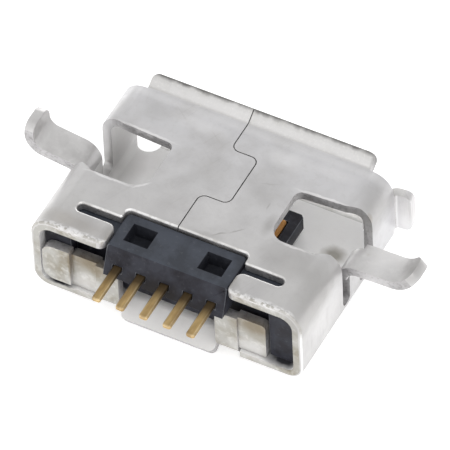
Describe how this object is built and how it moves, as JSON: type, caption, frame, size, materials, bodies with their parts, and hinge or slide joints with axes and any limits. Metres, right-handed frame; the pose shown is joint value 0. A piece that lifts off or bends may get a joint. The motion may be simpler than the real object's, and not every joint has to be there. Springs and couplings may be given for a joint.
{
  "type": "micro usb socket",
  "caption": "Small five-way data and charging socket with a folded metal shell, wing legs for a board cut-out and straight solder tails.",
  "frame": {"origin": "middle of the shell's flat back, midway between its rear edge and the mouth's fold", "axes": "+Y out of the mouth, +Z from the flat back towards the seam side, +X across the socket towards the right wing as seen from behind"},
  "size_m": [0.0109, 0.0067, 0.0029],
  "materials": {
    "shell": "tin-plated, satin",
    "housing": "moulded, matt black",
    "contact": "gold flash over copper alloy"
  },
  "bodies": {
    "root": {"shell": "shell", "housing": "housing", "contact_1": "contact", "contact_2": "contact", "contact_3": "contact", "contact_4": "contact", "contact_5": "contact"}
  },
  "joints": []
}
